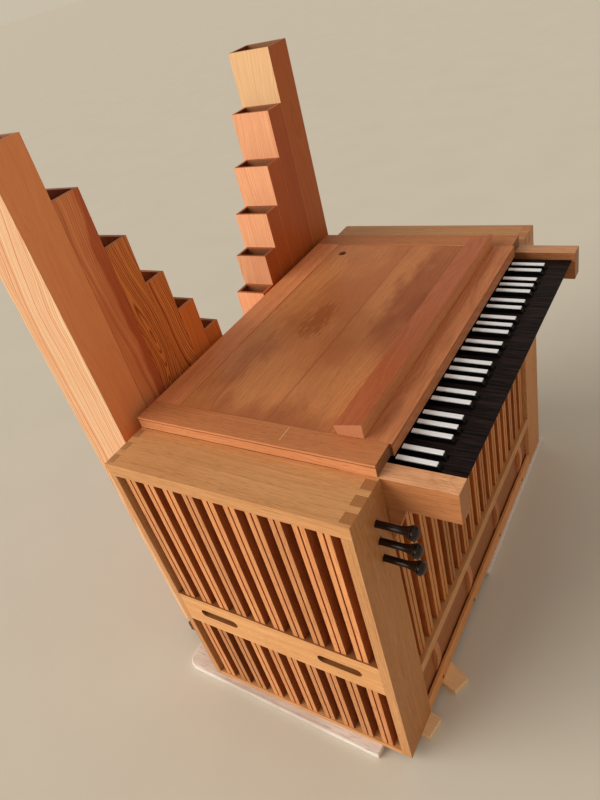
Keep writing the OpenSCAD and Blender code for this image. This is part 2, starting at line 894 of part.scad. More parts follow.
end_tops();
end_fronts();
end_backs();
end_bottoms();
end_inner_panels();
hand_rails();
end_slats();
cheeks();
key_bed();
key_levers();
natural_covers();
sharp_keys();
sharp_tops();
front_grille();
grille_back();
shelf_rail();
niche_brackets();
bottom_rail();
case_floor();
case_back();
pipe_rack();
pipe_toe_board();
lid_stiles();
lid_rails();
lid_panel();
music_ledge();
stop_knob_1();
stop_knob_2();
stop_knob_3();
base_boards();
wedges();
pipe_c();
pipe_d_natural();
pipe_e();
pipe_f_sharp();
pipe_g_sharp();
pipe_a_sharp();
pipe_c_sharp();
pipe_d_sharp();
pipe_f();
pipe_g();
pipe_a();
pipe_b();
stoppers();
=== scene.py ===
"""Looks of the chest organ: boards with their own grain, ebony and bone keys, turned knobs, studio.

Every visible CAD node is copied, its arrises are eased and each board gets its own piece of timber:
the corner attributes "grain" (place in the log, metres, the log running along Z), "tone" (a random
share for the board), "cut" (1 on end grain), "up" (1 on top faces), "side" (1 away from a board's main
faces) and "inside" (1 inside a tube) steer one family of procedural wood materials, which darken top
faces for wear and as painted shade, and paint shade away from the main faces and inside tubes.
"""
import logging
import math
import random
from dataclasses import dataclass, field, replace
from enum import Enum
from typing import Optional, Sequence

import bmesh
import bpy
import numpy as np
from mathutils import Matrix, Vector


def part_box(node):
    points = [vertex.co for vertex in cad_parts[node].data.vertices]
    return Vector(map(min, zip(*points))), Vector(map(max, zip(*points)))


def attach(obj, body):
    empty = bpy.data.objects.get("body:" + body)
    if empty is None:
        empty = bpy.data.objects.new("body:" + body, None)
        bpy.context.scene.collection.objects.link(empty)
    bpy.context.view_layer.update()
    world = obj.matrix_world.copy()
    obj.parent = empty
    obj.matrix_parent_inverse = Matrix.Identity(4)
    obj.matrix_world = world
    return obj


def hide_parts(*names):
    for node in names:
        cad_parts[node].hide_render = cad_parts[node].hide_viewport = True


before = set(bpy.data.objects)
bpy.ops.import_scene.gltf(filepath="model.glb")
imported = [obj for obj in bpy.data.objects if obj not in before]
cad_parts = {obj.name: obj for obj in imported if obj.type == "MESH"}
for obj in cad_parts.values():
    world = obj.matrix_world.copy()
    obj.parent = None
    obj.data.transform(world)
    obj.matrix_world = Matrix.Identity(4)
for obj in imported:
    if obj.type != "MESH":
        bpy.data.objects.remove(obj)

logging.basicConfig(level=logging.INFO, format="%(message)s")
log = logging.getLogger("organ")

Socket = bpy.types.NodeSocket
RGB = tuple[float, float, float]
XYZ = tuple[float, float, float]


def linear(rgb: RGB) -> tuple[float, ...]:
    """Turns a screen colour, its channels from 0 to 255, into scene light of full opacity."""
    shares = (channel / 255 for channel in rgb)
    return (*(c / 12.92 if c <= 0.04045 else ((c + 0.055) / 1.055) ** 2.4 for c in shares), 1.0)


class Axis(Enum):
    """Direction that a board's grain runs in."""

    X = 0
    Y = 1
    Z = 2


class Sawn(Enum):
    """How a board was cut from its log, and how far from the pith, as a share of the usual depth."""

    FLAT = 0.6
    RIFT = 1.5
    QUARTER = 2.0


class Split(Enum):
    """Which faces of a solid belong to the same board."""

    SOLID = 0
    SIDES = 1


class Graph:
    """Short calls for building one material's nodes.

    The value of an input is a number, a colour, a vector or another node's socket, or None for the usual one.
    """

    def __init__(self, name: str) -> None:
        """Makes an empty material with a surface shader.

        Args:
            name: Name of the material.
        """
        self.material = bpy.data.materials.new(name)
        self.material.use_nodes = True
        self.tree = self.material.node_tree
        self.tree.nodes.clear()
        self.shader = self.node("BsdfPrincipled", {})
        self.node("OutputMaterial", {"Surface": self.shader.outputs["BSDF"]})

    def node(self, kind: str, values: dict[int | str, object], **settings: object) -> bpy.types.Node:
        """Makes one node.

        Args:
            kind: Blender's name of the node, without its prefix.
            values: Value of each input, by the input's number or name.
            settings: The node's own settings.

        Returns:
            The node.
        """
        node = self.tree.nodes.new(f"ShaderNode{kind}")
        for name, setting in settings.items():
            setattr(node, name, setting)
        self.feed(node, values)
        return node

    def feed(self, node: bpy.types.Node, values: dict[int | str, object]) -> None:
        """Sets a node's inputs, or links them to other nodes.

        Args:
            node: The node.
            values: Value of each input, by the input's number or name.
        """
        for key, value in values.items():
            if isinstance(value, Socket):
                self.tree.links.new(value, node.inputs[key])
            elif value is not None:
                node.inputs[key].default_value = value

    def attribute(self, name: str, output: str = "Fac") -> Socket:
        """One of the piece's own attributes."""
        return self.node("Attribute", {}, attribute_name=name).outputs[output]

    def place(self) -> Socket:
        """Object coordinates."""
        return self.node("TexCoord", {}).outputs["Object"]

    def math(self, operation: str, a: object, b: object = None, clamp: bool = False) -> Socket:
        """One arithmetic step, by Blender's name of it, kept between 0 and 1 if it's clamped."""
        return self.node("Math", {0: a, 1: b}, operation=operation, use_clamp=clamp).outputs[0]

    def plus(self, a: object, b: object) -> Socket:
        """a + b."""
        return self.math("ADD", a, b)

    def minus(self, a: object, b: object) -> Socket:
        """a - b."""
        return self.math("SUBTRACT", a, b)

    def times(self, a: object, b: object) -> Socket:
        """a * b."""
        return self.math("MULTIPLY", a, b)

    def over(self, a: object, b: object) -> Socket:
        """a / b."""
        return self.math("DIVIDE", a, b)

    def vector(self, operation: str, a: object, b: object = None) -> Socket:
        """One vector step, by Blender's name of it."""
        node = self.node("VectorMath", {0: a, 1: b}, operation=operation)
        return node.outputs["Value" if operation == "LENGTH" else "Vector"]

    def scaled(self, vector: object, factor: object) -> Socket:
        """A vector times a number."""
        return self.node("VectorMath", {0: vector, "Scale": factor}, operation="SCALE").outputs["Vector"]

    def split(self, vector: object) -> tuple[Socket, ...]:
        """The three parts of a vector."""
        return tuple(self.node("SeparateXYZ", {0: vector}).outputs)

    def join(self, x: object, y: object, z: object) -> Socket:
        """A vector of three numbers."""
        return self.node("CombineXYZ", {0: x, 1: y, 2: z}).outputs[0]

    def noise(self, place: object, waves: XYZ, detail: float = 2.0, roughness: float = 0.5,
              colour: bool = False) -> Socket:
        """Fractal noise.

        Args:
            place: Coordinates in metres.
            waves: Waves per metre along each axis.
            detail: Octaves.
            roughness: Strength of the finer octaves.
            colour: Whether to return three numbers instead of one.

        Returns:
            The noise.
        """
        node = self.node("TexNoise", {"Vector": self.vector("MULTIPLY", place, waves), "Scale": 1.0,
                                      "Detail": detail, "Roughness": roughness})
        return node.outputs["Color" if colour else "Fac"]

    def swayed(self, place: object, waves: XYZ, detail: float, roughness: float, reach: XYZ) -> Socket:
        """Coordinates pushed about by noise.

        Args:
            place: Coordinates in metres.
            waves: Waves per metre along each axis.
            detail: Octaves.
            roughness: Strength of the finer octaves.
            reach: Full width of the push along each axis, in metres.

        Returns:
            The swayed coordinates.
        """
        drift = self.noise(place, waves, detail, roughness, colour=True)
        push = self.vector("MULTIPLY", self.vector("SUBTRACT", drift, (0.5, 0.5, 0.5)), reach)
        return self.vector("ADD", place, push)

    def ramp(self, value: object, stops: Sequence[tuple[float, float]], smooth: bool = False) -> Socket:
        """Maps a number through grey stops.

        Args:
            value: The number.
            stops: Places and levels, from 0 to 1.
            smooth: Whether the curve eases between stops.

        Returns:
            The mapped number.
        """
        node = self.node("ValToRGB", {0: value})
        node.color_ramp.interpolation = "EASE" if smooth else "LINEAR"
        while len(node.color_ramp.elements) < len(stops):
            node.color_ramp.elements.new(0.5)
        for element, (at, level) in zip(node.color_ramp.elements, stops):
            element.position = at
            element.color = (level, level, level, 1.0)
        return node.outputs["Color"]

    def mix(self, a: object, b: object, factor: object, blend: str = "MIX") -> Socket:
        """Mixes two colours, a at factor 0 and b at factor 1, by Blender's name of the mode."""
        values = {0: factor, 6: a, 7: b}
        return self.node("Mix", values, data_type="RGBA", blend_type=blend).outputs[2]

    def bump(self, height: object, strength: float, distance: float) -> None:
        """Raises the surface by a share of a height map, in which 1 stands for a distance in metres."""
        node = self.node("Bump", {"Height": height, "Strength": strength, "Distance": distance})
        self.feed(self.shader, {"Normal": node.outputs["Normal"]})


# Waves per metre in a log, across it, across it and along it.
FIBRE_WAVES = (900.0, 900.0, 9.0)
PORE_WAVES = (850.0, 850.0, 40.0)
DASH_WAVES = (520.0, 520.0, 26.0)
STREAK_WAVES = (330.0, 330.0, 7.0)
BAND_WAVES = (95.0, 95.0, 1.6)
RING_WAVES = (55.0, 1.0, 1.0)
PATCH_WAVES = (6.0, 6.0, 3.2)
SWAY_WAVES = (5.0, 5.0, 2.2)

# Smudges per metre on a polished surface.
SMUDGE_WAVES = (22.0, 22.0, 22.0)

# Noise seldom strays a sixth from its middle, so a sway is stretched by this.
NOISE_SPAN = 6

# Share of the dark colour in plain wood and in its broad patches, and what is left of that colour's
# brightness in pores and dashes.
DARK_SHARE = 0.18
PATCH_SHARE = 0.75
PORE_TONE = 0.55
DASH_TONE = 0.75

# How many rings' widths the spacing of the rings strays by.
RING_SWAY = 7.0

# How far the fibres change the roughness of wood.
SHEEN_SPAN = 0.14

# Relief of wood: shares of its fibres and late wood, strength, and height in metres.
FIBRE_RELIEF = 0.5
LATE_RELIEF = 0.25
RELIEF_STRENGTH = 0.35
RELIEF_HEIGHT = 0.0003

WHITE: RGB = (255, 255, 255)
REDDER: RGB = (204, 178, 178)
STAINED: RGB = (170, 92, 46)
SCRATCHED: RGB = (225, 190, 140)
HEARTWOOD: RGB = (220, 186, 172)

# How the dark late wood rises and falls over one growth ring.
LATE_WOOD = ((0.0, 0.25), (0.1, 0.0), (0.55, 0.25), (0.86, 1.0), (1.0, 0.25))


@dataclass(frozen=True)
class Spot:
    """A patch on a level face: its middle, its reach along X and Y, and its strength."""

    x: float
    y: float
    reach_x: float
    reach_y: float
    strength: float

    def apart(self, g: Graph, place: Socket) -> Socket:
        """Distance from the spot's middle, 1 at its reach.

        Args:
            g: The material being built.
            place: Where on the board, in metres.

        Returns:
            The distance.
        """
        x, y, _ = g.split(place)
        share_x = g.over(g.minus(x, self.x), self.reach_x)
        share_y = g.over(g.minus(y, self.y), self.reach_y)
        return g.vector("LENGTH", g.join(share_x, share_y, 0.0))


@dataclass(frozen=True)
class Stain(Spot):
    """A dark stain on a board that runs along X, frayed into strokes."""

    edge_waves: XYZ = (26.0, 90.0, 26.0)
    edge_reach: XYZ = (0.06, 0.06, 0.06)
    stroke_waves: XYZ = (34.0, 210.0, 34.0)
    stroke_length: float = 2.2

    def mask(self, g: Graph) -> Socket:
        """The stain's strength.

        Args:
            g: The material being built.

        Returns:
            The strength, 0 beside the stain.
        """
        place = g.swayed(g.place(), self.edge_waves, 3.0, 0.6, self.edge_reach)
        strokes = g.minus(g.noise(g.place(), self.stroke_waves, 3.0, 0.7), 0.5)
        reach = g.plus(self.apart(g, place), g.times(strokes, self.stroke_length))
        return g.ramp(reach, ((0.55, self.strength), (0.95, 0.0)), smooth=True)


@dataclass(frozen=True)
class Shade(Spot):
    """A broad, soft patch where the colour turns redder and darker."""

    edge_waves: XYZ = (9.0, 22.0, 9.0)
    edge_reach: XYZ = (0.16, 0.16, 0.16)

    def mask(self, g: Graph) -> Socket:
        """The patch's strength."""
        place = g.swayed(g.place(), self.edge_waves, 4.0, 0.65, self.edge_reach)
        return g.ramp(self.apart(g, place), ((0.3, self.strength), (1.0, 0.0)), smooth=True)


@dataclass(frozen=True)
class Scratch:
    """One thin scratch along X on a level face."""

    low_x: float
    high_x: float
    y: float
    width: float
    strength: float = 0.8

    def mask(self, g: Graph) -> Socket:
        """The scratch's strength.

        Args:
            g: The material being built.

        Returns:
            The strength, 0 beside the scratch.
        """
        x, y, _ = g.split(g.place())
        middle, half = (self.low_x + self.high_x) / 2, (self.high_x - self.low_x) / 2
        across = g.math("LESS_THAN", g.math("ABSOLUTE", g.minus(y, self.y)), self.width / 2)
        along = g.math("LESS_THAN", g.math("ABSOLUTE", g.minus(x, middle)), half)
        return g.times(g.times(across, along), self.strength)


@dataclass(frozen=True)
class Heartwood:
    """The darker wood past a wavering edge that runs up a board."""

    edge_x: float
    edge_waves: XYZ = (5.0, 5.0, 6.0)
    edge_reach: float = 0.05
    edge_width: float = 1 / 110

    def mask(self, g: Graph) -> Socket:
        """Where the heartwood is.

        Args:
            g: The material being built.

        Returns:
            1 in the heartwood and 0 beside it.
        """
        x, _, _ = g.split(g.place())
        waver = g.times(g.minus(g.noise(g.place(), self.edge_waves), 0.5), self.edge_reach)
        past = g.minus(g.plus(x, waver), self.edge_x)
        return g.ramp(g.plus(g.over(past, self.edge_width), 0.5), ((0.0, 0.0), (1.0, 1.0)), smooth=True)


@dataclass(frozen=True)
class WoodFinish:
    """A varnished or raw timber, drawn from the growth rings of the log it came from.

    Attributes:
        name: Name of the material.
        light: Colour of the early wood.
        dark: Colour of the late wood and the streaks.
        end: Colour that end grain goes towards.
        ring: Width of a growth ring, in metres.
        ring_strength: How plainly the rings show.
        wander: How far the log's rings sway, in metres.
        slope: Lean of the board in its log, so that rings run out.
        streaks: Strength of the long streaks.
        pores: Strength of the short, sunk pores.
        blotches: Strength of the broad, darker patches.
        spread: Difference in brightness between boards.
        end_strength: Share of the end colour on end grain.
        aged: Multiplies the colour of top faces: partly wear and dirt, partly painted shade.
        sides: Multiplies the colour away from a board's main faces: painted shade.
        inside: Multiplies the colour inside a tube: painted shade.
        dashes: Strength of the short, dark dashes.
        calm_sides: Share by which the rings fade away from the main faces.
        slot: Name of the material's slot, if it isn't the finish's name; not used for any material slot.
    """

    name: str
    light: RGB
    dark: RGB
    end: RGB
    ring: float = 0.0032
    ring_strength: float = 0.35
    wander: float = 0.006
    slope: float = 0.02
    streaks: float = 0.5
    pores: float = 0.35
    blotches: float = 0.2
    spread: float = 0.14
    end_strength: float = 0.6
    aged: RGB = WHITE
    sides: RGB = WHITE
    inside: RGB = WHITE
    dashes: float = 0.2
    calm_sides: float = 0.0
    roughness: float = 0.45
    coat: float = 0.04
    coat_roughness: float = 0.3
    specular: float = 0.2
    slot: str = ""
    scratch: Optional[Scratch] = None
    stain: Optional[Stain] = None
    shades: tuple[Shade, ...] = ()
    heart: Optional[Heartwood] = None

    def material(self) -> bpy.types.Material:
        """Builds the timber's material.

        Returns:
            The material.
        """
        g = Graph(self.name)
        sway = self.wander * NOISE_SPAN
        log_place = g.swayed(g.attribute("grain", "Vector"), SWAY_WAVES, 2.0, 0.5, (sway, sway, 0.0))
        late = self.late_wood(g, log_place)
        fibres = g.noise(log_place, FIBRE_WAVES, 2.0, 0.6)
        pore = g.ramp(g.noise(log_place, PORE_WAVES, 1.0, 0.4), ((0.56, 0.0), (0.68, 1.0)))

        colour = self.clean_wood(g, log_place, late, fibres)
        colour = self.open_grain(g, colour, log_place, pore)
        colour = self.shaded_and_marked(g, colour)
        shade = g.plus(g.times(g.minus(g.attribute("tone"), 0.5), self.spread * 2), 1.0)

        rough = g.plus(g.times(fibres, SHEEN_SPAN), self.roughness - SHEEN_SPAN / 2)
        g.feed(g.shader, {"Base Color": g.scaled(colour, shade), "Roughness": rough,
                          "Specular IOR Level": self.specular, "Coat Weight": self.coat,
                          "Coat Roughness": self.coat_roughness})
        height = g.minus(g.times(fibres, FIBRE_RELIEF), g.times(pore, self.pores))
        height = g.plus(height, g.times(late, LATE_RELIEF))
        g.bump(height, RELIEF_STRENGTH, RELIEF_HEIGHT)
        return g.material

    def late_wood(self, g: Graph, log_place: Socket) -> Socket:
        """The dark part of each growth ring.

        Args:
            g: The material being built.
            log_place: Place in the log.

        Returns:
            How dark the ring is there.
        """
        x, y, z = g.split(log_place)
        lean = g.times(z, self.slope)
        radius = g.vector("LENGTH", g.join(g.plus(x, lean), y, 0.0))
        uneven = g.times(g.noise(g.join(radius, 0.0, 0.0), RING_WAVES, 3.0), RING_SWAY)
        rings = g.plus(g.over(radius, self.ring), uneven)
        return g.ramp(g.math("FRACT", rings), LATE_WOOD)

    def clean_wood(self, g: Graph, log_place: Socket, late: Socket, fibres: Socket) -> Socket:
        """Rings, bands, streaks and broad patches.

        Args:
            g: The material being built.
            log_place: Place in the log.
            late: How dark the growth ring is.
            fibres: The finest streaks.

        Returns:
            The colour.
        """
        calmed = g.times(g.attribute("side"), self.ring_strength * self.calm_sides)
        level = g.times(late, g.minus(self.ring_strength, calmed))
        bands = g.noise(log_place, BAND_WAVES, 3.0, 0.55)
        streaks = g.noise(log_place, STREAK_WAVES, 2.0, 0.6)
        for part, weight in ((bands, 1.6), (streaks, 1.5), (fibres, 1.0)):
            level = g.plus(level, g.times(g.minus(part, 0.5), self.streaks * weight))
        colour = g.mix(linear(self.light), linear(self.dark), g.math("ADD", level, DARK_SHARE, clamp=True))

        patch = g.noise(g.attribute("grain", "Vector"), PATCH_WAVES, 3.0, 0.55)
        patch = g.ramp(patch, ((0.42, 0.0), (0.68, 1.0)), smooth=True)
        return g.mix(colour, g.mix(colour, linear(self.dark), PATCH_SHARE), g.times(patch, self.blotches))

    def open_grain(self, g: Graph, colour: Socket, log_place: Socket, pore: Socket) -> Socket:
        """Draws the pores and dashes.

        Args:
            g: The material being built.
            colour: The wood's colour without them.
            log_place: Place in the log.
            pore: 1 in a pore and 0 beside it.

        Returns:
            The colour with them.
        """
        colour = g.mix(colour, self.darker(PORE_TONE), g.times(pore, self.pores))
        dash = g.ramp(g.noise(log_place, DASH_WAVES, 1.0, 0.5), ((0.6, 0.0), (0.74, 1.0)))
        return g.mix(colour, self.darker(DASH_TONE), g.times(dash, self.dashes))

    def darker(self, share: float) -> tuple[float, ...]:
        """A share of the dark colour."""
        return linear(tuple(share * channel for channel in self.dark))

    def shaded_and_marked(self, g: Graph, colour: Socket) -> Socket:
        """Darkens top faces for wear and as painted shade, paints shade on other faces and inside tubes, and
        draws the board's own marks.

        Args:
            g: The material being built.
            colour: The wood's colour without them.

        Returns:
            The colour with them.
        """
        # Painted shade: top faces darker (partly also wear), faces away from the main faces darker, insides
        # of tubes darker.
        for tint, faces in ((self.aged, "up"), (self.sides, "side"), (self.inside, "inside")):
            if tint != WHITE:
                colour = g.mix(colour, linear(tint), g.attribute(faces), "MULTIPLY")
        if self.heart is not None:
            colour = g.mix(colour, linear(HEARTWOOD), self.heart.mask(g), "MULTIPLY")
        for shade in self.shades:
            colour = g.mix(colour, linear(REDDER), shade.mask(g), "MULTIPLY")
        if self.stain is not None:
            colour = g.mix(colour, linear(STAINED), self.stain.mask(g))
        colour = g.mix(colour, linear(self.end), g.times(g.attribute("cut"), self.end_strength))
        if self.scratch is not None:
            colour = g.mix(colour, linear(SCRATCHED), self.scratch.mask(g))
        return colour


@dataclass(frozen=True)
class SmoothFinish:
    """A dense, polished stuff with faint streaks: ebony, bone, dark turned wood, steel.

    Attributes:
        name: Name of the material.
        base: Its colour.
        streak: Colour of its streaks.
        waves: Streaks per metre along X, Y and Z.
        wear: How far smudges change the roughness.
        bump: Share of the streaks' relief, which is bump_height metres deep.
        slot: Name of the material's slot, if it isn't the finish's name; not used.
    """

    name: str
    base: RGB
    streak: RGB
    waves: XYZ
    roughness: float
    wear: float = 0.1
    coat: float = 0.0
    coat_roughness: float = 0.12
    metallic: float = 0.0
    bump: float = 0.1
    bump_height: float = 0.0002
    specular: float = 0.5
    slot: str = ""

    def material(self) -> bpy.types.Material:
        """Builds the material.

        Returns:
            The material.
        """
        g = Graph(self.name)
        place = g.place()
        streaks = g.noise(place, self.waves, 3.0, 0.6)
        mask = g.ramp(streaks, ((0.4, 0.0), (0.72, 1.0)))
        smudge = g.noise(place, SMUDGE_WAVES, 3.0, 0.6)
        worn = g.times(g.minus(smudge, 0.5), self.wear * 2)
        g.feed(g.shader, {"Base Color": g.mix(linear(self.base), linear(self.streak), mask),
                          "Roughness": g.plus(worn, self.roughness), "Metallic": self.metallic,
                          "Specular IOR Level": self.specular, "Coat Weight": self.coat,
                          "Coat Roughness": self.coat_roughness})
        g.bump(streaks, self.bump, self.bump_height)
        return g.material


def kin(base: WoodFinish, name: str, **changes: object) -> WoodFinish:
    """A finish like another one, with its slot name carried over unless a change names the slot."""
    return replace(base, name=name, **{"slot": base.slot or base.name, **changes})


CASE_OAK = WoodFinish("case_oak", (226, 164, 106), (188, 124, 70), (150, 96, 56), end_strength=0.45,
                      streaks=0.52, pores=0.24, dashes=0.14)
# The sides tints of the cheek, end front, hand rail and slat finishes darken the faces away from the main
# faces: painted shade.
CHEEK_OAK = kin(CASE_OAK, "cheek_oak", light=(234, 172, 124), dark=(190, 126, 80), streaks=0.75, pores=0.35,
                sides=(206, 186, 162))
FRONT_BOARD = kin(CASE_OAK, "front_board_oak", sides=(236, 222, 206), blotches=0.5)
RAIL_OAK = kin(CASE_OAK, "hand_rail_oak", light=(236, 174, 112), sides=(170, 150, 135))
# Case oak made darker for the board in the recess behind the bottom rail: painted shade.
FRONT_OAK = kin(CASE_OAK, "front_oak", light=(182, 116, 70), dark=(142, 84, 46))
BRACKET_OAK = kin(CASE_OAK, "bracket_oak", light=(212, 138, 88), dark=(170, 104, 62))
LOW_RAIL_OAK = kin(CASE_OAK, "low_rail_oak", light=(232, 160, 96), dark=(190, 120, 64))
SLAT_OAK = WoodFinish("slat_oak", (228, 156, 98), (182, 108, 58), (158, 98, 56), spread=0.2,
                      sides=(190, 160, 136))
# Slat oak made darker for the front grille, which stands in shade: painted shade.
FRONT_SLAT = kin(SLAT_OAK, "front_slat_oak", light=(214, 144, 82), dark=(162, 98, 48), sides=(232, 190, 160))
# The lid finishes darken their top faces: partly wear, partly painted shade.
LID_OAK = WoodFinish("lid_oak", (228, 156, 104), (184, 114, 68), (104, 66, 42), blotches=0.35,
                     end_strength=0.8, streaks=0.42, pores=0.25, dashes=0.12, aged=(232, 218, 206),
                     scratch=Scratch(-0.387, -0.352, 0.191, 0.0012), specular=0.1)
LID_RAIL = kin(LID_OAK, "lid_rail_oak", light=(228, 146, 96), dark=(176, 104, 62), aged=(255, 252, 246),
               scratch=None, coat=0.1, coat_roughness=0.2, specular=0.08)
LEDGE_OAK = kin(LID_OAK, "ledge_oak", end=(178, 114, 84), end_strength=0.6, aged=(206, 163, 142),
                scratch=None, coat=0.26, specular=0.08)
PANEL_OAK = kin(LID_OAK, "lid_panel_oak", slot="", light=(234, 154, 92), dark=(186, 104, 60),
                end=(110, 66, 40), blotches=0.85, streaks=0.26, pores=0.2, aged=(250, 250, 248),
                scratch=None, roughness=0.4, specular=0.12, stain=Stain(-0.012, 0.32, 0.085, 0.036, 0.8),
                shades=(Shade(0.17, 0.135, 0.34, 0.085, 0.9), Shade(-0.36, 0.25, 0.09, 0.24, 0.7),
                        Shade(-0.2, 0.4, 0.16, 0.05, 0.5)))
# Painted shade on the pipes: the sides tints darken and warm their fronts and backs, and the inside tint
# darkens the insides of the tubes.
PIPE_PINE = WoodFinish("pine_pipe", (252, 204, 156), (218, 140, 90), (150, 92, 54), ring=0.0042,
                       ring_strength=0.5, wander=0.012, slope=0.045, pores=0.03, dashes=0.05, blotches=0.15,
                       spread=0.08, streaks=0.3, sides=(244, 206, 172), inside=(158, 140, 126))
WIDE_PINE = kin(PIPE_PINE, "wide_pine", light=(255, 220, 172), dark=(226, 138, 82), ring=0.0056,
                ring_strength=0.9, wander=0.02, slope=0.06, streaks=0.22, calm_sides=0.85,
                sides=(242, 184, 148))
TREBLE_PINE = kin(PIPE_PINE, "treble_pine", light=(248, 184, 134), dark=(210, 124, 84),
                  sides=(206, 144, 82), spread=0.12, blotches=0.4)
PALE_PINE = kin(TREBLE_PINE, "pale_pine", light=(255, 214, 158), dark=(236, 166, 110), sides=(200, 132, 76))
BROWN_PINE = kin(PIPE_PINE, "brown_pine", light=(245, 146, 74), dark=(186, 92, 40), sides=(250, 232, 205))
DARK_PINE = kin(PIPE_PINE, "dark_pine", light=(214, 122, 72), dark=(150, 72, 36), ring=0.005,
                ring_strength=0.7, wander=0.016, slope=0.05, blotches=0.5, sides=(255, 250, 240))
HEART_PINE = kin(DARK_PINE, "heart_pine", light=(240, 153, 97), dark=(188, 100, 56), heart=Heartwood(-0.318))
FLAME_PINE = kin(DARK_PINE, "flame_pine", light=(255, 156, 78), dark=(158, 66, 26), ring=0.0042,
                 ring_strength=0.9, wander=0.02, slope=0.06, blotches=0.15, streaks=0.25)
INNER_WOOD = WoodFinish("inner_wood", (100, 50, 24), (64, 30, 12), (70, 38, 20), coat=0.0, roughness=0.7,
                        specular=0.1)
BACK_WOOD = kin(INNER_WOOD, "back_wood", light=(146, 78, 40), dark=(98, 50, 24))
RACK_WOOD = kin(INNER_WOOD, "rack_wood", light=(168, 108, 64), dark=(120, 72, 40))
PALE_WOOD = WoodFinish("pale_wood", (206, 162, 112), (164, 116, 70), (150, 108, 70), pores=0.1,
                       coat=0.0, roughness=0.6)
# The base board's top tint darkens its top faces: partly dirt, partly painted shade.
BASE_BOARD = WoodFinish("base_board", (255, 246, 236), (176, 150, 130), (226, 206, 188), pores=0.1,
                        ring_strength=0.15, streaks=0.35, dashes=0.5, coat=0.0, roughness=0.75, spread=0.05,
                        aged=(254, 250, 246), blotches=0.7)
WEDGE_OAK = WoodFinish("wedge_oak", (255, 214, 158), (244, 184, 126), (250, 210, 160), coat=0.0,
                       roughness=0.7, pores=0.12)
EBONY = SmoothFinish("ebony", (10, 9, 10), (54, 38, 37), (300.0, 14.0, 300.0), 0.42, wear=0.16,
                     specular=0.05)
BLACK_SHARP = SmoothFinish("black_sharp", (10, 8, 9), (18, 14, 14), (500.0, 9.0, 500.0), 0.3, specular=0.14)
BONE = SmoothFinish("bone", WHITE, (250, 249, 246), (300.0, 12.0, 300.0), 0.3, wear=0.06, coat=1.0, bump=0.02)
KNOB_WOOD = SmoothFinish("knob_wood", (26, 16, 11), (46, 29, 20), (260.0, 16.0, 260.0), 0.22, coat=0.08,
                         specular=0.2)
SCREW_STEEL = SmoothFinish("screw_steel", (92, 84, 74), (60, 52, 44), (700.0, 700.0, 700.0), 0.42,
                           metallic=0.9)


@dataclass
class Finishes:
    """Makes each material once and hands it out."""

    made: dict[str, bpy.types.Material] = field(default_factory=dict)

    def get(self, finish: WoodFinish | SmoothFinish) -> bpy.types.Material:
        """The finish's material, made on its first use.

        Args:
            finish: The finish.

        Returns:
            Its material.
        """
        if finish.name not in self.made:
            self.made[finish.name] = finish.material()
        return self.made[finish.name]


# Points closer than this are one, and faces that turn less than this are one face.
WELD = 0.00002
FLAT_ANGLE = math.radians(0.5)

# Edges that turn more than this are eased, and those that turn less are shaded smooth.
ARRIS_ANGLE = math.radians(32)
SMOOTH_ANGLE = math.radians(40)

# A solid this far behind the foremost one lies in another layer.
LAYER_GAP = 0.003

# A face is end grain as far as it turns towards the grain by more than this.
SIDE_SHARE = 0.2

# Boards are taken from anywhere in a log this long, and from these shares of their usual depth.
LOG_LENGTH = 8.0
DEPTH_SHARES = (0.8, 1.3)

# Greatest distance off the pith's line when sawn flat and on the quarter, and turns when rift sawn.
FLAT_SHIFT = 0.02
QUARTER_SHIFT = 0.01
RIFT_TURNS = (0.5, 1.1)


def select_only(obj: bpy.types.Object) -> None:
    """Makes one object the only selected and the active one.

    Args:
        obj: The object.
    """
    bpy.ops.object.select_all(action="DESELECT")
    obj.select_set(True)
    bpy.context.view_layer.objects.active = obj


@dataclass(frozen=True)
class Board:
    """A board's cross axes, its place in the log and its brightness."""

    wide: int
    thin: int
    pith: tuple[float, float]
    shift: float
    tone: float


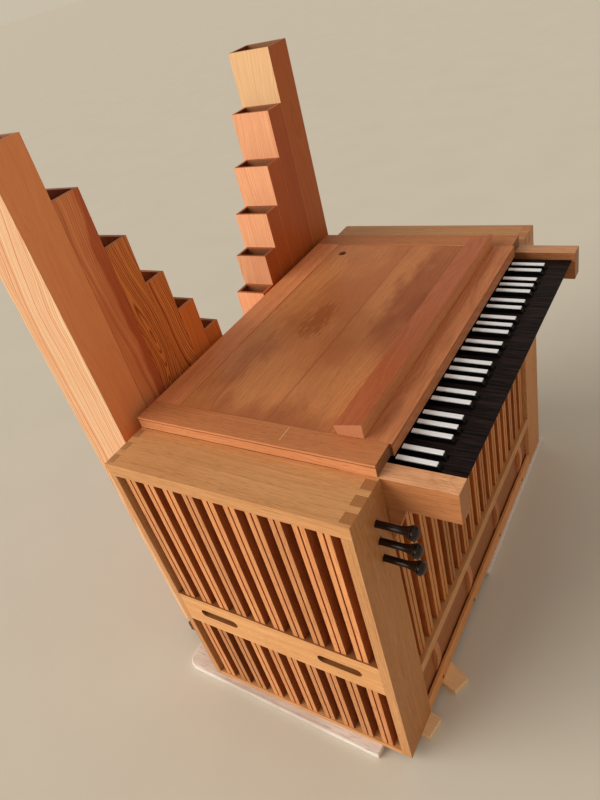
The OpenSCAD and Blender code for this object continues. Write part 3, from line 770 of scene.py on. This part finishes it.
@dataclass
class Timber:
    """Turns a CAD node into eased boards with their own place in a log.

    Attributes:
        node: Name of the CAD node.
        finish: Its finish.
        grain: Direction of the grain.
        sawn: How the boards were cut.
        split: Whether each solid is one board or a board for each side.
        ease: Width of the eased arrises.
        body: Name of the body that it rides on.
        depth: Usual distance from the pith.
        face: Axis that the main faces look along; the finish's sides tint darkens the other faces as painted
            shade.
        tube: Whether the solids are tubes, whose insides take the finish's inside tint as painted shade.
        behind: Finish of the solids behind the foremost.
        tones: Brightness of the solids in turn, in place of chance.
    """

    node: str
    finish: WoodFinish | SmoothFinish
    grain: Axis = Axis.Z
    sawn: Sawn = Sawn.RIFT
    split: Split = Split.SOLID
    ease: float = 0.0008
    body: str = "case"
    depth: float = 0.09
    face: Optional[Axis] = None
    tube: bool = False
    behind: Optional[WoodFinish] = None
    tones: tuple[float, ...] = ()

    def build(self, finishes: Finishes) -> bpy.types.Object:
        """Copies the node, eases its arrises, marks its boards and dresses it.

        Args:
            finishes: Where the material comes from.

        Returns:
            The finished piece.
        """
        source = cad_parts[self.node]
        piece = bpy.data.objects.new(f"{self.node}_finished", source.data.copy())
        bpy.context.scene.collection.objects.link(piece)
        self.merge(piece)
        if self.ease > 0:
            self.round_arrises(piece)
        self.mark_boards(piece)
        piece.data.materials.clear()
        piece.data.materials.append(finishes.get(self.finish))
        if self.behind is not None:
            self.dress_behind(piece, finishes)
        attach(piece, self.body)
        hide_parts(self.node)
        log.info("%s: %d faces, %s", piece.name, len(piece.data.polygons), self.finish.name)
        return piece

    def merge(self, piece: bpy.types.Object) -> None:
        """Joins the triangles into whole flat faces, those round a tube's mouth without hollow corners.

        Args:
            piece: The piece.
        """
        select_only(piece)
        bpy.ops.object.mode_set(mode="EDIT")
        bpy.ops.mesh.select_all(action="SELECT")
        bpy.ops.mesh.remove_doubles(threshold=WELD)
        bpy.ops.mesh.dissolve_limited(angle_limit=FLAT_ANGLE)
        if self.tube:
            bpy.ops.mesh.vert_connect_concave()
        bpy.ops.object.mode_set(mode="OBJECT")

    def round_arrises(self, piece: bpy.types.Object) -> None:
        """Eases every sharp edge and shades the result.

        Args:
            piece: The piece.
        """
        select_only(piece)
        bevel = piece.modifiers.new("eased", "BEVEL")
        bevel.width = self.ease
        bevel.segments = 2
        bevel.limit_method = "ANGLE"
        bevel.angle_limit = ARRIS_ANGLE
        bevel.miter_outer = "MITER_ARC"
        bpy.ops.object.modifier_apply(modifier=bevel.name)
        bpy.ops.object.shade_smooth_by_angle(angle=SMOOTH_ANGLE)
        weighted = piece.modifiers.new("weighted", "WEIGHTED_NORMAL")
        weighted.keep_sharp = True
        bpy.ops.object.modifier_apply(modifier=weighted.name)

    def islands(self, mesh: bpy.types.Mesh) -> list[list[int]]:
        """Groups the faces by solid, in a fixed order.

        Args:
            mesh: The piece's mesh.

        Returns:
            Face numbers of each solid.
        """
        work = bmesh.new()
        work.from_mesh(mesh)
        seen: set[int] = set()
        groups: list[list[int]] = []
        for start in work.faces:
            if start.index in seen:
                continue
            seen.add(start.index)
            stack, group = [start], []
            while stack:
                face = stack.pop()
                group.append(face.index)
                for edge in face.edges:
                    for other in edge.link_faces:
                        if other.index not in seen:
                            seen.add(other.index)
                            stack.append(other)
            groups.append(group)
        work.free()
        return groups

    def mark_boards(self, piece: bpy.types.Object) -> None:
        """Writes the attributes that the timber materials read.

        Args:
            piece: The piece.
        """
        mesh = piece.data
        place = np.zeros((len(mesh.loops), 3), np.float32)
        marks = {name: np.zeros(len(mesh.loops), np.float32)
                 for name in ("tone", "cut", "up", "side", "inside")}
        points = np.array([v.co[:] for v in mesh.vertices], np.float32)
        along = self.grain.value
        across = [axis for axis in range(3) if axis != along]
        groups = self.islands(mesh)
        groups.sort(key=lambda group: tuple(np.round(mesh.polygons[group[0]].center, 4)))
        for number, group in enumerate(groups):
            spots = points[[v for face in group for v in mesh.polygons[face].vertices]]
            low, high = spots.min(0), spots.max(0)
            middle = (low + high) / 2
            for face in group:
                polygon = mesh.polygons[face]
                normal = np.array(polygon.normal)
                board = self.board(number, self.side_key(normal), high - low, across)
                loops = list(polygon.loop_indices)
                local = points[[mesh.loops[i].vertex_index for i in loops]] - middle
                place[loops, 0] = local[:, board.wide] + board.pith[0]
                place[loops, 1] = local[:, board.thin] + board.pith[1]
                place[loops, 2] = local[:, along] + board.shift
                marks["tone"][loops] = board.tone
                marks["cut"][loops] = max(0.0, (abs(normal[along]) - SIDE_SHARE) / (1.0 - SIDE_SHARE))
                marks["up"][loops] = max(0.0, normal[2])
                if self.face is not None:
                    marks["side"][loops] = 1.0 - abs(normal[self.face.value])
                outward = (np.array(polygon.center) - middle)[across] @ normal[across]
                marks["inside"][loops] = float(self.tube and outward < 0)
        mesh.attributes.new("grain", "FLOAT_VECTOR", "CORNER").data.foreach_set("vector", place.ravel())
        for name, values in marks.items():
            mesh.attributes.new(name, "FLOAT", "CORNER").data.foreach_set("value", values)

    def board(self, number: int, side: str, size: np.ndarray, across: Sequence[int]) -> Board:
        """Draws where a board lay in its log.

        Args:
            number: Number of its solid.
            side: Key of its side.
            size: Size of the solid.
            across: The two axes across the grain.

        Returns:
            The board.
        """
        rng = random.Random(f"{self.node}/{number}/{side}")
        wide, thin = self.wide_and_thin(size, across, side)
        pith = self.pith(rng)
        shift = rng.uniform(-LOG_LENGTH / 2, LOG_LENGTH / 2)
        tone = self.tones[number % len(self.tones)] if self.tones else rng.random()
        return Board(wide, thin, pith, shift, tone)

    def dress_behind(self, piece: bpy.types.Object, finishes: Finishes) -> None:
        """Gives the boards that stand behind the foremost one their own finish.

        Args:
            piece: The piece.
            finishes: Where the material comes from.
        """
        mesh = piece.data
        mesh.materials.append(finishes.get(self.behind))
        fronts = [(min(mesh.vertices[v].co.y for f in group for v in mesh.polygons[f].vertices), group)
                  for group in self.islands(mesh)]
        foremost = min(front for front, _ in fronts)
        for front, group in fronts:
            if front > foremost + LAYER_GAP:
                for face in group:
                    mesh.polygons[face].material_index = 1

    def side_key(self, normal: np.ndarray) -> str:
        """Tells the boards of a glued-up solid apart by the way a face looks.

        Args:
            normal: The face's normal.

        Returns:
            A short name of the side, the same for all faces where the solid is one board.
        """
        if self.split is Split.SOLID:
            return "solid"
        flat = np.abs(normal).copy()
        flat[self.grain.value] = 0.0
        axis = int(flat.argmax())
        return f"{axis}{'+' if normal[axis] > 0 else '-'}"

    def wide_and_thin(self, size: np.ndarray, across: Sequence[int], side: str) -> tuple[int, int]:
        """Which cross axis is a board's width and which its thickness.

        Args:
            size: Size of the solid.
            across: The two axes across the grain.
            side: Key of the side, where a solid has several boards.

        Returns:
            The wide and the thin axis.
        """
        if side != "solid":
            thin = int(side[0])
            return (across[0] if across[1] == thin else across[1]), thin
        a, b = across
        return (a, b) if size[a] >= size[b] else (b, a)

    def pith(self, rng: random.Random) -> tuple[float, float]:
        """Where the board lay in the log, as a shift from the pith.

        Args:
            rng: Numbers of this board.

        Returns:
            Shift along the width and along the thickness.
        """
        reach = self.sawn.value * self.depth * rng.uniform(*DEPTH_SHARES)
        sign = rng.choice((-1, 1))
        if self.sawn is Sawn.FLAT:
            return rng.uniform(-FLAT_SHIFT, FLAT_SHIFT), sign * reach
        if self.sawn is Sawn.QUARTER:
            return sign * reach, rng.uniform(-QUARTER_SHIFT, QUARTER_SHIFT)
        angle = rng.uniform(*RIFT_TURNS)
        return sign * reach * math.cos(angle), rng.choice((-1, 1)) * reach * math.sin(angle)


class Assembly:
    """A group of pieces that are built together."""

    def works(self) -> Sequence[Timber]:
        """The group's CAD nodes and how each is dressed."""
        raise NotImplementedError

    def build(self, finishes: Finishes) -> list[bpy.types.Object]:
        """Builds and dresses the pieces."""
        return [work.build(finishes) for work in self.works()]


@dataclass
class Case(Assembly):
    """The oak case: end boxes, hand rails, slats, back and floor."""

    def works(self) -> Sequence[Timber]:
        """The case's boards."""
        return (
            Timber("end_tops", CASE_OAK, Axis.Y, tones=(0.44, -0.2)),
            Timber("end_fronts", FRONT_BOARD, Axis.Z, Sawn.FLAT, face=Axis.X),
            Timber("end_backs", CASE_OAK, Axis.Z, Sawn.FLAT),
            Timber("end_bottoms", CASE_OAK, Axis.Y),
            Timber("end_inner_panels", BACK_WOOD, Axis.Z, Sawn.FLAT),
            Timber("hand_rails", RAIL_OAK, Axis.Y, Sawn.QUARTER, ease=0.0014, face=Axis.X),
            Timber("end_slats", SLAT_OAK, Axis.Z, Sawn.QUARTER, ease=0.0007, face=Axis.X),
            Timber("case_back", CASE_OAK, Axis.X, Sawn.FLAT),
            Timber("case_floor", INNER_WOOD, Axis.X, Sawn.FLAT),
        )


@dataclass
class Front(Assembly):
    """The slatted grille, the niche with its brackets and the bottom rail with its screws.

    The middles of a screw's head and slot are measured out from the rail's front.
    """

    screws: int = 4
    screw_inset: float = 0.0095
    screw_height: float = 0.026
    head_radius: float = 0.0042
    head_thick: float = 0.0012
    head_middle: float = 0.0001
    head_rim: float = 0.0002
    slot_size: XYZ = (0.02, 0.0016, 0.0011)
    slot_middle: float = 0.0012
    slot_start: float = 0.6
    slot_rate: float = 7.0

    def works(self) -> Sequence[Timber]:
        """The front's boards."""
        return (
            Timber("front_grille", FRONT_SLAT, Axis.Z, Sawn.QUARTER, ease=0.0007, face=Axis.Y),
            Timber("grille_back", BACK_WOOD, Axis.X, Sawn.FLAT),
            Timber("shelf_rail", CASE_OAK, Axis.X, Sawn.QUARTER),
            Timber("niche_brackets", BRACKET_OAK),
            # The board behind the bottom rail takes the darker front oak: painted shade in the recess.
            Timber("bottom_rail", LOW_RAIL_OAK, Axis.X, Sawn.QUARTER, behind=FRONT_OAK),
        )

    def build(self, finishes: Finishes) -> list[bpy.types.Object]:
        """Builds the boards, and the screws in the bottom rail.

        Args:
            finishes: Where the materials come from.

        Returns:
            The finished pieces.
        """
        pieces = super().build(finishes)
        low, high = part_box("niche_brackets")
        places = np.linspace(low.x + self.screw_inset, high.x - self.screw_inset, self.screws)
        pieces += [self.screw(f"rail_screw_{i + 1}", x, finishes) for i, x in enumerate(places)]
        return pieces

    def screw(self, name: str, x: float, finishes: Finishes) -> bpy.types.Object:
        """A slotted countersunk screw head in the bottom rail.

        Args:
            name: Name of the piece.
            x: Its place along the rail.
            finishes: Where the material comes from.

        Returns:
            The screw head.
        """
        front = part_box("bottom_rail")[0].y
        bpy.ops.mesh.primitive_cylinder_add(vertices=32, radius=self.head_radius, depth=self.head_thick,
                                            location=(x, front - self.head_middle, self.screw_height),
                                            rotation=(math.pi / 2, 0, 0))
        head = bpy.context.active_object
        head.name = name
        bpy.ops.mesh.primitive_cube_add(size=1, location=(x, front - self.slot_middle, self.screw_height),
                                        rotation=(0, self.slot_turn(x), 0), scale=self.slot_size)
        cutter = bpy.context.active_object
        select_only(head)
        slot = head.modifiers.new("slot", "BOOLEAN")
        slot.object = cutter
        bpy.ops.object.modifier_apply(modifier=slot.name)
        bevel = head.modifiers.new("rim", "BEVEL")
        bevel.width = self.head_rim
        bevel.segments = 2
        bevel.limit_method = "ANGLE"
        bpy.ops.object.modifier_apply(modifier=bevel.name)
        bpy.ops.object.transform_apply(location=True, rotation=True, scale=True)
        bpy.data.objects.remove(cutter)
        head.data.materials.append(finishes.get(SCREW_STEEL))
        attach(head, "case")
        log.info("%s: %d faces", head.name, len(head.data.polygons))
        return head

    def slot_turn(self, x: float) -> float:
        """Turn of a screw's slot, another one at each place."""
        return self.slot_start + x * self.slot_rate


@dataclass
class Keyboard(Assembly):
    """Levers, covers, sharps, the cheeks and the bed."""

    def works(self) -> Sequence[Timber]:
        """The keys and what carries them."""
        return (
            Timber("cheeks", CHEEK_OAK, Axis.Y, Sawn.QUARTER, ease=0.001, face=Axis.Z),
            Timber("key_bed", INNER_WOOD, Axis.X, Sawn.FLAT),
            Timber("key_levers", PALE_WOOD, Axis.Y, Sawn.QUARTER, ease=0.0004),
            Timber("natural_covers", EBONY, Axis.Y, ease=0.0006),
            Timber("sharp_keys", BLACK_SHARP, Axis.Y),
            Timber("sharp_tops", BONE, Axis.Y, ease=0.0007),
        )


@dataclass
class Lid(Assembly):
    """The loose lid: frame, panel and music ledge."""

    def works(self) -> Sequence[Timber]:
        """The lid's boards."""
        return (
            Timber("lid_stiles", LID_OAK, Axis.Y, body="lid"),
            Timber("lid_rails", LID_RAIL, Axis.X, body="lid"),
            Timber("lid_panel", PANEL_OAK, Axis.X, Sawn.FLAT, ease=0.0005, body="lid"),
            Timber("music_ledge", LEDGE_OAK, Axis.X, ease=0.0012, body="lid"),
        )


@dataclass
class Stops(Assembly):
    """The three turned stop knobs."""

    def works(self) -> Sequence[Timber]:
        """The knobs, each on its own sliding body."""
        return [Timber(f"stop_knob_{i}", KNOB_WOOD, Axis.Y, ease=0.0, body=f"stop_{i}") for i in (1, 2, 3)]


@dataclass
class Pipes(Assembly):
    """Twelve stopped wooden pipes with their stoppers, rack and toe board."""

    timbers: dict[str, WoodFinish] = field(default_factory=lambda: {
        "pipe_c": WIDE_PINE, "pipe_d_natural": HEART_PINE, "pipe_e": FLAME_PINE, "pipe_f_sharp": FLAME_PINE,
        "pipe_g_sharp": BROWN_PINE, "pipe_a_sharp": BROWN_PINE, "pipe_c_sharp": PALE_PINE,
        **dict.fromkeys(("pipe_d_sharp", "pipe_f", "pipe_g", "pipe_a", "pipe_b"), TREBLE_PINE)})

    def works(self) -> Sequence[Timber]:
        """The pipes, their stoppers and what carries them."""
        tubes = [Timber(name, timber, Axis.Z, Sawn.FLAT, Split.SIDES, ease=0.0003, depth=0.06, face=Axis.X,
                        tube=True) for name, timber in self.timbers.items()]
        return (
            *tubes,
            Timber("stoppers", PALE_WOOD, Axis.Z, Sawn.FLAT, ease=0.0006),
            Timber("pipe_rack", RACK_WOOD, Axis.X),
            Timber("pipe_toe_board", RACK_WOOD, Axis.X, Sawn.FLAT),
        )


@dataclass
class Base(Assembly):
    """The raw boards and wedges under the case."""

    def works(self) -> Sequence[Timber]:
        """The boards and wedges."""
        return (
            Timber("base_boards", BASE_BOARD, Axis.Y, Sawn.FLAT, ease=0.003),
            Timber("wedges", WEDGE_OAK, Axis.Y),
        )


@dataclass
class Studio:
    """Pale floor, soft daylight from the bass side, and the camera at the photograph's place."""

    eye: XYZ = (-1.0351, -0.4090, 1.4186)
    right: XYZ = (0.486131, -0.843507, -0.228412)
    up: XYZ = (0.600734, 0.132739, 0.788352)
    focal_px: float = 656.09
    frame_px: tuple[int, int] = (600, 800)
    sensor: float = 36.0
    near: float = 0.02
    sky_from: XYZ = (-0.68, 0.65, 0.33)
    sky_angle: float = 55.0
    sky_strength: float = 2.85
    sky_colour: RGB = (1.0, 0.985, 0.96)
    even_colour: RGB = (1.0, 0.94, 0.88)
    even_strength: float = 0.46
    backdrop: RGB = (201, 190, 170)
    floor_light: RGB = (224, 214, 194)
    floor_dark: RGB = (216, 206, 186)
    floor_size: float = 160.0
    floor_waves: XYZ = (3.0, 3.0, 3.0)
    floor_roughness: float = 0.9

    def build(self) -> None:
        """Makes the camera, floor, lamps and world."""
        self.camera()
        self.floor()
        self.sky()
        self.world()

    def camera(self) -> None:
        """Places the camera where the photograph was taken from."""
        data = bpy.data.cameras.new("photo_camera")
        data.sensor_width = self.sensor
        data.lens = self.focal_px / max(self.frame_px) * self.sensor
        data.clip_start = self.near
        camera = bpy.data.objects.new("photo_camera", data)
        back = Vector(self.right).cross(Vector(self.up))
        turn = Matrix((self.right, self.up, back)).transposed()
        camera.matrix_world = Matrix.Translation(self.eye) @ turn.to_4x4()
        bpy.context.scene.collection.objects.link(camera)
        bpy.context.scene.camera = camera

    def floor(self) -> None:
        """Lays the pale floor."""
        bpy.ops.mesh.primitive_plane_add(size=self.floor_size)
        floor = bpy.context.active_object
        floor.name = "floor"
        g = Graph("pale_floor")
        tint = g.noise(g.place(), self.floor_waves, 4.0)
        colour = g.mix(linear(self.floor_light), linear(self.floor_dark), tint)
        g.feed(g.shader, {"Base Color": colour, "Roughness": self.floor_roughness})
        floor.data.materials.append(g.material)

    def sky(self) -> None:
        """Soft, low daylight from the bass side and the back."""
        data = bpy.data.lights.new("sky", "SUN")
        data.angle = math.radians(self.sky_angle)
        data.energy = self.sky_strength
        data.color = self.sky_colour
        lamp = bpy.data.objects.new("sky", data)
        lamp.rotation_mode = "QUATERNION"
        lamp.rotation_quaternion = Vector(self.sky_from).to_track_quat("Z", "Y")
        bpy.context.scene.collection.objects.link(lamp)

    def world(self) -> None:
        """Even light from all round, and a pale backdrop for the camera and for reflections."""
        world = bpy.data.worlds.new("studio")
        bpy.context.scene.world = world
        world.use_nodes = True
        tree = world.node_tree
        tree.nodes.clear()
        path = tree.nodes.new("ShaderNodeLightPath")
        seen = tree.nodes.new("ShaderNodeMath")
        seen.operation = "MAXIMUM"
        tree.links.new(path.outputs["Is Camera Ray"], seen.inputs[0])
        tree.links.new(path.outputs["Is Glossy Ray"], seen.inputs[1])
        light = tree.nodes.new("ShaderNodeBackground")
        light.inputs["Color"].default_value = (*self.even_colour, 1.0)
        light.inputs["Strength"].default_value = self.even_strength
        backdrop = tree.nodes.new("ShaderNodeBackground")
        backdrop.inputs["Color"].default_value = linear(self.backdrop)
        mix = tree.nodes.new("ShaderNodeMixShader")
        out = tree.nodes.new("ShaderNodeOutputWorld")
        tree.links.new(seen.outputs[0], mix.inputs[0])
        tree.links.new(light.outputs[0], mix.inputs[1])
        tree.links.new(backdrop.outputs[0], mix.inputs[2])
        tree.links.new(mix.outputs[0], out.inputs["Surface"])
        bpy.context.scene.view_settings.view_transform = "Standard"


def main() -> None:
    """Builds every sub-assembly."""
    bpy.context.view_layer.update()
    finishes = Finishes()
    Studio().build()
    for part in (Case(), Front(), Keyboard(), Lid(), Stops(), Pipes(), Base()):
        pieces = part.build(finishes)
        log.info("%s: %d pieces", type(part).__name__, len(pieces))


if __name__ == "__main__":
    main()
